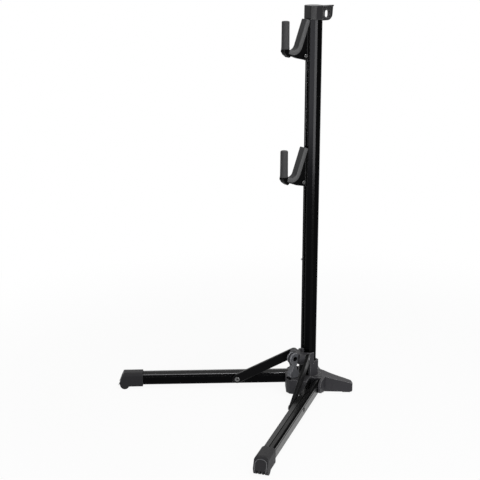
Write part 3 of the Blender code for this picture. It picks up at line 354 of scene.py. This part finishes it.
def block(name, size, material):
    """A box round its own origin, used as a cutter. The faces it leaves take its material."""
    mesh = bpy.data.meshes.new(name)
    work = bmesh.new()
    bmesh.ops.create_cube(work, size=1.0, matrix=Matrix.Diagonal((*size, 1.0)))
    work.to_mesh(mesh)
    work.free()
    mesh.materials.append(material)
    item = bpy.data.objects.new(name, mesh)
    bpy.context.scene.collection.objects.link(item)
    return item


def even_normals(piece):
    """Weighs a piece's normals by face area, so its flat faces stay flat beside their fillets."""
    weigh = piece.modifiers.new("even_normals", "WEIGHTED_NORMAL")
    weigh.keep_sharp = True
    weigh.weight = FLAT_FACE_WEIGHT
    bpy.context.view_layer.update()
    current = bpy.context.evaluated_depsgraph_get()
    settled = bpy.data.meshes.new_from_object(
        piece.evaluated_get(current), preserve_all_data_layers=True, depsgraph=current)
    piece.modifiers.clear()
    piece.data = settled


def dress(node, body, material, crease=32, carve=()):
    """Stands a smooth-shaded copy of a CAD solid in for it, in a finish of its own, less what carve cuts away."""
    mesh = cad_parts[node].data.copy()
    mesh.name = node + "_dressed"
    work = bmesh.new()
    work.from_mesh(mesh)
    bmesh.ops.remove_doubles(work, verts=work.verts, dist=MERGE_DISTANCE)
    work.to_mesh(mesh)
    work.free()
    if mesh.has_custom_normals:
        mesh.attributes.remove(mesh.attributes["custom_normal"])
    mesh.materials.clear()
    mesh.materials.append(material)
    mesh.shade_smooth()
    mesh.set_sharp_from_angle(angle=math.radians(crease))
    piece = bpy.data.objects.new(node + "_dressed", mesh)
    bpy.context.scene.collection.objects.link(piece)
    for tool in carve:
        groove = piece.modifiers.new("groove", "BOOLEAN")
        groove.operation = "DIFFERENCE"
        groove.solver = "EXACT"
        groove.material_mode = "TRANSFER"
        groove.object = tool
    even_normals(piece)
    for tool in carve:
        bpy.data.objects.remove(tool)
    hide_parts(node)
    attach(piece, body)


# Its edges are lightened strongly: a painted highlight along them as well as wear.
moulded = finish("charcoal_nylon", (0.0290, 0.0283, 0.0320), 0.48, specular=0.18,
                 wear_and_highlight_colour=(0.30, 0.30, 0.305), wear_and_highlight=1.0, grain=1500.0, depth=0.00005, rounding=0.0011,
                 band=0.0014)
dress("base_hub", "base", moulded)

# Rear soles: two grey rubber pads glued under the short feet, so the stand neither slips nor marks a floor.
rubber = finish("grey_rubber", (0.035, 0.035, 0.036), 0.78, specular=0.22, wear_and_highlight_colour=(0.14, 0.14, 0.14),
                wear_and_highlight=0.25, grain=2200.0, depth=0.00006, rounding=0.0008, tone=0.08)
for side in ("left", "right"):
    dress("rear_sole_" + side, "base", rubber)

# Upright: a black anodised aluminium extrusion, drawn along its length, with bevelled corners and a T-slot down its
# hook side. The slot's lips and the two facets at each front corner are cut a hair deep and coloured in lighter
# copies of the anodised metal: a painted highlight on the lips and painted reflections on the facets, one facet
# lighter than the other. A plug and one bolt inside its foot pull it down into the hub.
TUBE_RUN = 0.80
LIP_BAR = 0.0042
SLOT_SIDE_Y = -0.0135
FACET_CORNERS = (Vector((0.0067, SLOT_SIDE_Y)), Vector((0.0128, -0.0069)), Vector((0.0150, -0.0028)))
FACET_BAR = 0.0040
FACET_SKIN = 0.00005

drawn_upright = finish("upright_anodised", (0.0022, 0.0022, 0.0024), 0.17, metallic=1.0,
                       wear_and_highlight_colour=(0.14, 0.14, 0.145), wear_and_highlight=0.7, dust=0.03, grain=2600.0, depth=0.00002,
                       rounding=0.0004, lines=(0, 0, 1), band=0.0007)
# The lips' lighter metal is a painted highlight.
lip_highlight_metal = finish("painted_lip_highlight", (0.022, 0.022, 0.0225), 0.22, metallic=1.0, wear_and_highlight_colour=(0.06, 0.06, 0.06),
                   wear_and_highlight=0.0, dust=0.0, grain=2600.0, depth=0.000002, rounding=0.0002, lines=(0, 0, 1))
# Two lighter copies of the anodised metal for the corner facets: painted reflections.
facet_reflection_dim = finish("painted_facet_reflection_dim", (0.0034, 0.0034, 0.0037), 0.19, metallic=1.0, wear_and_highlight_colour=(0.05, 0.05, 0.05),
               wear_and_highlight=0.1, dust=0.0, grain=2600.0, depth=0.000002, rounding=0.0002, lines=(0, 0, 1))
facet_reflection_bright = finish("painted_facet_reflection_bright", (0.0056, 0.0056, 0.0058), 0.16, metallic=1.0, wear_and_highlight_colour=(0.05, 0.05, 0.05),
                  wear_and_highlight=0.1, dust=0.0, grain=2600.0, depth=0.000002, rounding=0.0002, lines=(0, 0, 1))
lip_cut = block("slot_lips", (LIP_BAR, LIP_BAR, TUBE_RUN), lip_highlight_metal)
lip_cut.location = (0.0, SLOT_SIDE_Y, TUBE_RUN / 2)
lip_cut.rotation_euler.z = math.radians(45)
planes = [lip_cut]
for start, end, coat in zip(FACET_CORNERS, FACET_CORNERS[1:], (facet_reflection_dim, facet_reflection_bright)):
    run = end - start
    slant = math.atan2(run.x, run.y)
    outward = Vector((run.y, -run.x)).normalized()
    middle = (start + end) / 2 + outward * (FACET_BAR / 2 - FACET_SKIN)
    for hand in (-1, 1):
        plane = block("facet_plane", (FACET_BAR, run.length, TUBE_RUN), coat)
        plane.location = (hand * middle.x, middle.y, TUBE_RUN / 2)
        plane.rotation_euler.z = -hand * slant
        planes.append(plane)
dress("upright_tube", "base", drawn_upright, carve=planes)
dress("tube_plug", "base", moulded)
zinc = finish("zinc_plate", (0.58, 0.58, 0.60), 0.28, metallic=1.0, wear_and_highlight_colour=(0.35, 0.34, 0.33), wear_and_highlight=0.3,
              grain=3000.0, depth=0.00001, rounding=0.0002, dust=0.0)
dress("base_bolt", "base", zinc)

# Top cap: a glossier charcoal moulding pressed over the upright, with a hanging eye behind it under a thin
# flange. The eye's web is cut back, which leaves the hole as wide as the real one.
EYE_WEB_SIZE = (0.0030, 0.0138, 0.0180)
EYE_WEB_PLACE = (0.0030, 0.0313, 0.7642)

# Its edges are lightened: a painted highlight along them as well as wear.
cap_nylon = finish("cap_nylon", (0.0095, 0.0093, 0.0105), 0.31, specular=0.20, wear_and_highlight_colour=(0.24, 0.24, 0.245),
                   wear_and_highlight=0.9, dust=0.03, grain=1500.0, depth=0.00004, rounding=0.0009, band=0.0012)
eye_web = block("eye_web", EYE_WEB_SIZE, cap_nylon)
eye_web.location = EYE_WEB_PLACE
dress("top_cap", "base", cap_nylon, carve=[eye_web])

# Stop screw: a small slotted screw in the upright's hook side that the slider comes up against.
dress("stop_screw", "base", zinc)

# Slider: a charcoal moulding that rides on the upright's front half, keyed in the slot. Two knuckles carry
# the struts' tops and a thin nose in front carries the latch link.
dress("slider", "slider_block", moulded)
for side in ("left", "right"):
    dress("strut_pin_" + side, "slider_block", zinc)

# Latch link: a grey cast figure of eight whose fork hangs on a black pin and whose lobe drops in the hub.
# The fork's cheeks are sunk round the pin's ends, and the sinkings are painted black as painted shade.
PIN_END = Vector((0.0066, -0.0380, 0.0790))
SINKING_RADIUS = 0.0048
SINKING_DEPTH = 0.0011
DRUM_SIDES = 28

# Its rims are lightened strongly: a painted highlight as well as wear.
cast = finish("latch_casting", (0.105, 0.108, 0.118), 0.40, metallic=0.25, wear_and_highlight_colour=(0.50, 0.50, 0.52),
              wear_and_highlight=1.0, grain=1800.0, depth=0.00004, rounding=0.0006, dust=0.02, band=0.0012)
# A black with no shine at all, put on cut faces in grooves, recesses and notches as painted shade.
matt_black_and_shade = finish("matt_black_and_shade", (0.0015, 0.0015, 0.0016), 0.60, specular=0.02, wear_and_highlight_colour=(0.02, 0.02, 0.02),
                    wear_and_highlight=0.2, dust=0.0, grain=2000.0, depth=0.00002, rounding=0.0002, gloss=0.0)


def shell(name, rings, material, crease=50):
    """A closed skin over a row of equal rings, each a list of points, with both ends closed."""
    mesh = bpy.data.meshes.new(name)
    work = bmesh.new()
    rows = [[work.verts.new(point) for point in ring] for ring in rings]
    count = len(rows[0])
    for low, high in zip(rows, rows[1:]):
        for k in range(count):
            work.faces.new((low[k], low[(k + 1) % count], high[(k + 1) % count], high[k]))
    work.faces.new(rows[0][::-1])
    work.faces.new(rows[-1])
    bmesh.ops.recalc_face_normals(work, faces=work.faces)
    work.to_mesh(mesh)
    work.free()
    mesh.materials.append(material)
    mesh.shade_smooth()
    mesh.set_sharp_from_angle(angle=math.radians(crease))
    piece = bpy.data.objects.new(name, mesh)
    bpy.context.scene.collection.objects.link(piece)
    return piece


def drum(name, place, radius, reach, material):
    """A round bar along X that reaches as far to either side of a place, used as a cutter."""
    angles = [2 * math.pi * k / DRUM_SIDES for k in range(DRUM_SIDES)]
    rings = [[place + Vector((end, radius * math.cos(angle), radius * math.sin(angle))) for angle in angles]
             for end in (-reach, reach)]
    return shell(name, rings, material)


sinkings = []
for hand in (-1, 1):
    cheek = Vector((hand * PIN_END.x, PIN_END.y, PIN_END.z))
    sinkings.append(drum("pin_sinking", cheek, SINKING_RADIUS, SINKING_DEPTH, matt_black_and_shade))
dress("latch", "latch_link", cast, carve=sinkings)
black_steel = finish("black_oxide", (0.010, 0.010, 0.011), 0.35, metallic=1.0, wear_and_highlight_colour=(0.05, 0.05, 0.05),
                     wear_and_highlight=0.1, grain=3000.0, depth=0.00001, rounding=0.0003, dust=0.0)
dress("latch_pin", "slider_block", black_steel)

# Legs: black anodised extrusions hinged between the hub and its ears, with a shallow roof for a top, a groove along
# its ridge and a groove at the outer edge, both painted black as painted shade, and an inner edge cut in a lighter
# metal as a painted highlight. Their outer ends are closed by charcoal caps with a raised arch in a lighter plastic
# as a painted highlight, and a foot whose notches grip the floor; the notches are painted black as painted shade.
SPREAD = math.radians(35.1)
SAG = math.radians(0.6)
LEGS_MEET_Y = 0.0387
HINGE_REACH = 0.062
HINGE_HEIGHT = 0.024

LEG_CUT_RUN = 0.39
LEG_CUT_MIDDLE = 0.150
RIDGE_HEIGHT = 0.0121
ROOF_HALF = 0.0160
ROOF_DEEP = 0.0060
INNER_SLOPE = 9.5
OUTER_SLOPE = 3.5
RIDGE_GROOVE = 0.0017
GROOVE_DEEP = 0.0040
OUTER_GROOVE = {"width": 0.0052, "out": 0.0100, "up": 0.0118}
INNER_EDGE = {"width": 0.0014, "out": 0.0117, "up": 0.0111}

NOTCH_COUNT = 3
NOTCH_PITCH = 0.0063
NOTCH_SIZE = (0.026, 0.0028, 0.0104)
NOTCH_PLACE = Vector((0.352, 0.0, -0.0156))
ARCH_CORNERS = [(-0.0108, -0.0112, 0.0), (-0.0108, 0.0095, 0.0100), (0.0108, 0.0095, 0.0100),
                (0.0108, -0.0112, 0.0)]
END_FACE = Vector((0.3570, 0.0, -0.0068))
END_FACE_LEAN = 0.399
RIM_HALF_WIDTH = 0.0007
RIM_RISE = 0.0006
RIM_SIDES = 8


def leg_frame(sign):
    """The leg's own frame: its X runs out along the leg from the hinge pin."""
    hinge = Vector((sign * math.sin(SPREAD) * HINGE_REACH, LEGS_MEET_Y - math.cos(SPREAD) * HINGE_REACH,
                    HINGE_HEIGHT))
    heading = Matrix.Rotation(sign * SPREAD - math.pi / 2, 4, "Z")
    return Matrix.Translation(hinge) @ heading @ Matrix.Rotation(SAG, 4, "Y")


def rounded_path(corners, steps=7):
    """A line through the first and last corner, with each corner between them turned in a curve."""
    points = [Vector(corners[0][:2])]
    for before, corner, after in zip(corners, corners[1:], corners[2:]):
        middle = Vector(corner[:2])
        start = middle + (Vector(before[:2]) - middle).normalized() * corner[2]
        end = middle + (Vector(after[:2]) - middle).normalized() * corner[2]
        for k in range(steps + 1):
            t = k / steps
            points.append(start * (1 - t) ** 2 + middle * 2 * t * (1 - t) + end * t ** 2)
    points.append(Vector(corners[-1][:2]))
    return points


def row_of_notches(name, count, pitch, size, material):
    """A row of equal boxes across the foot, made by a node tree, that cuts its grip ribs."""
    tree = bpy.data.node_groups.new(name, "GeometryNodeTree")
    tree.interface.new_socket("Geometry", in_out="INPUT", socket_type="NodeSocketGeometry")
    count_socket = tree.interface.new_socket("Count", in_out="INPUT", socket_type="NodeSocketInt")
    pitch_socket = tree.interface.new_socket("Pitch", in_out="INPUT", socket_type="NodeSocketFloat")
    tree.interface.new_socket("Geometry", in_out="OUTPUT", socket_type="NodeSocketGeometry")
    entry = tree.nodes.new("NodeGroupInput")
    leave = tree.nodes.new("NodeGroupOutput")
    line = tree.nodes.new("GeometryNodeMeshLine")
    step = tree.nodes.new("ShaderNodeCombineXYZ")
    gaps = tree.nodes.new("ShaderNodeMath")
    gaps.operation = "SUBTRACT"
    gaps.inputs[1].default_value = 1.0
    span = tree.nodes.new("ShaderNodeMath")
    span.operation = "MULTIPLY"
    first = tree.nodes.new("ShaderNodeMath")
    first.operation = "MULTIPLY"
    first.inputs[1].default_value = -0.5
    start = tree.nodes.new("ShaderNodeCombineXYZ")
    notch = tree.nodes.new("GeometryNodeMeshCube")
    notch.inputs["Size"].default_value = size
    copies = tree.nodes.new("GeometryNodeInstanceOnPoints")
    real = tree.nodes.new("GeometryNodeRealizeInstances")
    coat = tree.nodes.new("GeometryNodeSetMaterial")
    coat.inputs["Material"].default_value = material
    tree.links.new(entry.outputs["Count"], line.inputs["Count"])
    tree.links.new(entry.outputs["Pitch"], step.inputs["Y"])
    tree.links.new(step.outputs["Vector"], line.inputs["Offset"])
    tree.links.new(entry.outputs["Count"], gaps.inputs[0])
    tree.links.new(gaps.outputs[0], span.inputs[0])
    tree.links.new(entry.outputs["Pitch"], span.inputs[1])
    tree.links.new(span.outputs[0], first.inputs[0])
    tree.links.new(first.outputs[0], start.inputs["Y"])
    tree.links.new(start.outputs["Vector"], line.inputs["Start Location"])
    tree.links.new(line.outputs["Mesh"], copies.inputs["Points"])
    tree.links.new(notch.outputs["Mesh"], copies.inputs["Instance"])
    tree.links.new(copies.outputs["Instances"], real.inputs["Geometry"])
    tree.links.new(real.outputs["Geometry"], coat.inputs["Geometry"])
    tree.links.new(coat.outputs["Geometry"], leave.inputs["Geometry"])
    item = block(name, (0.001, 0.001, 0.001), material)
    grow = item.modifiers.new("notches", "NODES")
    grow.node_group = tree
    grow[count_socket.identifier] = count
    grow[pitch_socket.identifier] = pitch
    bpy.context.view_layer.update()
    item.data = bpy.data.meshes.new_from_object(item.evaluated_get(bpy.context.evaluated_depsgraph_get()))
    item.modifiers.clear()
    return item


def leg_cuts(sign, drawn):
    """The bars that cut a leg's roof, the groove along its ridge, and its two upper edges."""
    middle = leg_frame(sign) @ Matrix.Translation((LEG_CUT_MIDDLE, 0.0, 0.0))
    ridge = leg_frame(sign) @ Matrix.Translation((LEG_CUT_MIDDLE, 0.0, RIDGE_HEIGHT))
    cuts = []
    for hand, slope in ((-sign, INNER_SLOPE), (sign, OUTER_SLOPE)):
        roof = block("leg_roof", (LEG_CUT_RUN, ROOF_HALF, ROOF_DEEP), drawn)
        roof.matrix_world = ridge @ Matrix.Rotation(-hand * math.radians(slope), 4, "X") \
            @ Matrix.Translation((0.0, hand * ROOF_HALF / 2, ROOF_DEEP / 2))
        cuts.append(roof)
    # The outer groove is left in the shine-free black as painted shade, the inner edge in a lighter metal as a
    # painted highlight.
    for hand, edge_cut, coat in ((sign, OUTER_GROOVE, matt_black_and_shade), (-sign, INNER_EDGE, painted_edge_highlight)):
        bar = block("leg_edge_cut", (LEG_CUT_RUN, edge_cut["width"], GROOVE_DEEP), coat)
        bar.matrix_world = middle @ Matrix.Translation((0.0, hand * edge_cut["out"], edge_cut["up"])) \
            @ Matrix.Rotation(-hand * math.radians(45), 4, "X")
        cuts.append(bar)
    # The ridge groove is painted black as painted shade too.
    groove = block("leg_ridge_groove", (LEG_CUT_RUN, RIDGE_GROOVE, GROOVE_DEEP), matt_black_and_shade)
    groove.matrix_world = ridge
    return cuts + [groove]


def foot_rim(name, sign):
    """The raised arch on a foot cap's end: a thin bead that follows the cap's outline on its leaning face, in a
    lighter plastic as a painted highlight.
    """
    arch = rounded_path(ARCH_CORNERS)
    rings = []
    for k, point in enumerate(arch):
        ahead = (arch[min(k + 1, len(arch) - 1)] - arch[max(k - 1, 0)]).normalized()
        across = Vector((ahead.y, -ahead.x))
        ring = []
        for step in range(RIM_SIDES):
            angle = 2 * math.pi * step / RIM_SIDES
            shift = across * RIM_HALF_WIDTH * math.cos(angle)
            out = END_FACE.x - (point.y - END_FACE.z) * END_FACE_LEAN + RIM_RISE * math.sin(angle)
            ring.append(leg_frame(sign) @ Vector((out, point.x + shift.x, point.y + shift.y)))
        rings.append(ring)
    return shell(name, rings, rim_highlight_plastic)


# A lighter metal for the legs' inner edges: a painted highlight.
painted_edge_highlight = finish("painted_edge_highlight", (0.17, 0.17, 0.174), 0.25, metallic=1.0, wear_and_highlight_colour=(0.10, 0.10, 0.10),
                     wear_and_highlight=0.0, dust=0.0, grain=2600.0, depth=0.000002, rounding=0.0002)
foot_nylon = finish("foot_nylon", (0.0160, 0.0156, 0.0175), 0.50, specular=0.12, wear_and_highlight_colour=(0.15, 0.15, 0.155),
                    wear_and_highlight=0.7, grain=1500.0, depth=0.00005, rounding=0.0011, band=0.0014)
# A lighter plastic for the arch's bead: a painted highlight.
rim_highlight_plastic = finish("painted_rim_highlight", (0.075, 0.075, 0.079), 0.40, specular=0.4, wear_and_highlight_colour=(0.16, 0.16, 0.165),
                     wear_and_highlight=0.4, grain=1500.0, depth=0.00002, rounding=0.0003)
for side, sign in (("left", -1), ("right", 1)):
    along = Vector((sign * math.sin(SPREAD) * math.cos(SAG), -math.cos(SPREAD) * math.cos(SAG), -math.sin(SAG)))
    drawn = finish("leg_anodised_" + side, (0.0035, 0.0035, 0.0038), 0.24, metallic=1.0,
                   wear_and_highlight_colour=(0.25, 0.25, 0.26), wear_and_highlight=0.12, dust=0.05, grain=2600.0, depth=0.00002,
                   rounding=0.0004, lines=along)
    dress("leg_" + side, side + "_leg", drawn, carve=leg_cuts(sign, drawn))
    # The notches' cut faces are painted black as painted shade.
    notches = row_of_notches("grip_notches_" + side, NOTCH_COUNT, NOTCH_PITCH, NOTCH_SIZE, matt_black_and_shade)
    notches.matrix_world = leg_frame(sign) @ Matrix.Translation(NOTCH_PLACE)
    dress("foot_cap_" + side, side + "_leg", foot_nylon, carve=[notches])
    rim = foot_rim("foot_rim_" + side, sign)
    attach(rim, side + "_leg")
    dress("leg_pin_" + side, "base", black_steel)
    # The strut nut is dressed in the same shine-free black.
    dress("strut_nut_" + side, side + "_leg", matt_black_and_shade)

# Struts: flat black anodised bars with rounded ends, one on the inner side of each leg. The foot of each is
# held by a zinc-plated screw with a cross recess.
SCREW_ALONG = 0.114
SCREW_FACE = 0.0184
CROSS_LONG = 0.0056
CROSS_WIDE = 0.0014
CROSS_DEEP = 0.0030

flat_bar = finish("strut_anodised", (0.0060, 0.0060, 0.0064), 0.32, metallic=1.0, wear_and_highlight_colour=(0.25, 0.25, 0.26),
                  wear_and_highlight=0.15, dust=0.03, grain=2200.0, depth=0.00002, rounding=0.0006)
# Its rim is mixed towards near-white: a painted highlight ring on the screw head.
screw_steel = finish("screw_steel", (0.12, 0.12, 0.12), 0.35, metallic=1.0, wear_and_highlight_colour=(0.60, 0.60, 0.60),
                     wear_and_highlight=1.0, grain=3000.0, depth=0.00001, rounding=0.0003, dust=0.0, band=0.0006)
for side, sign in (("left", -1), ("right", 1)):
    dress("strut_" + side, side + "_strut", flat_bar)
    recess = []
    for arm in ((CROSS_LONG, CROSS_DEEP, CROSS_WIDE), (CROSS_WIDE, CROSS_DEEP, CROSS_LONG)):
        # The cross recess is painted black as painted shade.
        bar = block("screw_recess", arm, matt_black_and_shade)
        bar.matrix_world = leg_frame(sign) @ Matrix.Translation((SCREW_ALONG, -sign * SCREW_FACE, 0.0))
        recess.append(bar)
    dress("strut_screw_" + side, side + "_strut", screw_steel, carve=recess)

# Hooks: two black nylon brackets clamped in the slot. A rubber band covers each one's slope and trough, with a bead
# along each edge in a lighter rubber as a painted highlight, and a rubber sleeve is pushed over its upright prong.
TROUGH_HEIGHTS = {"upper": 0.7045, "lower": 0.4610}
PRONG_Y = -0.0673
SLEEVE_FOOT = -0.0021
SLEEVE_PROFILE = [(0.0, 0.0479), (0.0045, 0.0479), (0.0045, 0.0002), (0.0070, 0.0), (0.0078, 0.0004),
                  (0.0081, 0.0012), (0.0080, 0.0022), (0.0077, 0.0032), (0.0075, 0.0250), (0.0074, 0.0494),
                  (0.0071, 0.0505), (0.0065, 0.0512), (0.0057, 0.0515), (0.0, 0.0516)]
SLEEVE_SIDES = 40
SLEEVE_TIP_RADIUS = 0.00005
SEAM_RISE = 0.0004
SEAM_LEAST_RADIUS = 0.005
PAD_PATH = [(-0.0198, 0.0505, 0.0), (-0.0405, -0.0036, 0.0062), (-0.0505, -0.0088, 0.0045),
            (-0.0628, -0.0052, 0.0)]
PAD_SECTION = [(0.0050, -0.0026), (0.0050, -0.0054), (0.0054, -0.0058), (0.0076, -0.0058), (0.0082, -0.0052),
               (0.0083, 0.0014), (0.0080, 0.0024), (0.0073, 0.0029), (0.0064, 0.0027), (0.0056, 0.0024)]
PAD_END_ROUNDING = [(0.0, 0.72), (0.0003, 0.88), (0.0010, 0.97), (0.0020, 1.0)]
BEAD_FACES = (4, 5, 6, 7)

# Its edges are lightened: a painted highlight along them as well as wear.
nylon = finish("black_nylon", (0.0010, 0.0010, 0.0011), 0.40, specular=0.03, wear_and_highlight_colour=(0.16, 0.16, 0.162),
               wear_and_highlight=0.9, grain=1200.0, depth=0.00003, rounding=0.0008, dust=0.03)
# The rubber's edges are lightened: a painted highlight as well as wear.
cover = finish("hook_rubber", (0.040, 0.040, 0.041), 0.64, specular=0.22, wear_and_highlight_colour=(0.26, 0.26, 0.26),
               wear_and_highlight=1.0, grain=2400.0, depth=0.00007, rounding=0.0010, tone=0.07, band=0.0012)
# A lighter rubber for the pad's beads: a painted highlight.
bead_highlight_rubber = finish("bead_highlight_rubber", (0.082, 0.082, 0.083), 0.60, specular=0.25, wear_and_highlight_colour=(0.26, 0.26, 0.26),
                     wear_and_highlight=0.8, grain=2400.0, depth=0.00005, rounding=0.0008, tone=0.07, band=0.0010)
# A dark head whose rim is mixed towards near-white: a painted glint.
clamp_steel = finish("clamp_screw_steel", (0.05, 0.05, 0.05), 0.30, metallic=1.0, wear_and_highlight_colour=(0.95, 0.95, 0.95),
                     wear_and_highlight=1.0, grain=3000.0, depth=0.00001, rounding=0.0004, dust=0.0)


def make_sleeve(prefix, trough, material):
    """The rubber sleeve: a turned skin with a rolled foot, a slight taper, a rounded top and two mould seams."""
    rings = []
    for radius, height in SLEEVE_PROFILE:
        level = trough + SLEEVE_FOOT + height
        ring = []
        for k in range(SLEEVE_SIDES):
            angle = 2 * math.pi * k / SLEEVE_SIDES
            size = max(radius, SLEEVE_TIP_RADIUS)
            if k % (SLEEVE_SIDES // 2) == 0 and radius > SEAM_LEAST_RADIUS:
                size += SEAM_RISE
            ring.append((size * math.cos(angle), PRONG_Y + size * math.sin(angle), level))
        rings.append(ring)
    return shell(prefix + "_rubber_sleeve", rings, material)


def make_pad(prefix, trough, material, bead_material):
    """The rubber band: a channel over the bracket's web, down the slope and round the trough, beaded at its edges.

    Its section's points are (across, in front of the path); both of its ends are rounded over a few rings.
    """
    path = rounded_path(PAD_PATH)
    section = PAD_SECTION + [(-across, front) for across, front in PAD_SECTION[::-1]]
    rings = []
    for k, point in enumerate(path):
        before = path[max(k - 1, 0)]
        after = path[min(k + 1, len(path) - 1)]
        along = (after - before).normalized()
        facing_out = Vector((along.y, -along.x))
        stops = [(0.0, 1.0)]
        if k == 0:
            stops = PAD_END_ROUNDING
        if k == len(path) - 1:
            stops = [(-shift, size) for shift, size in PAD_END_ROUNDING[::-1]]
        for shift, size in stops:
            centre = point + along * shift
            ring = []
            for across, front in section:
                spot = centre + facing_out * front * size
                ring.append((across * (0.5 + 0.5 * size), spot.x, trough + spot.y))
            rings.append(ring)
    band = shell(prefix + "_rubber_pad", rings, material)
    # The bead faces take the lighter rubber: a painted highlight.
    band.data.materials.append(bead_material)
    for face in band.data.polygons[:(len(rings) - 1) * len(section)]:
        place_round = face.index % len(section)
        if min(place_round, len(section) - 2 - place_round) in BEAD_FACES:
            face.material_index = 1
    return band


for prefix, trough in TROUGH_HEIGHTS.items():
    body = prefix + "_hook"
    dress(prefix + "_hook_bracket", body, nylon)
    sleeve = make_sleeve(prefix, trough, cover)
    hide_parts(prefix + "_hook_sleeve")
    pad = make_pad(prefix, trough, cover, bead_highlight_rubber)
    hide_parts(prefix + "_hook_pad")
    for piece in (sleeve, pad):
        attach(piece, body)
    dress(prefix + "_hook_screw", body, clamp_steel)
    dress(prefix + "_hook_nut", body, zinc)
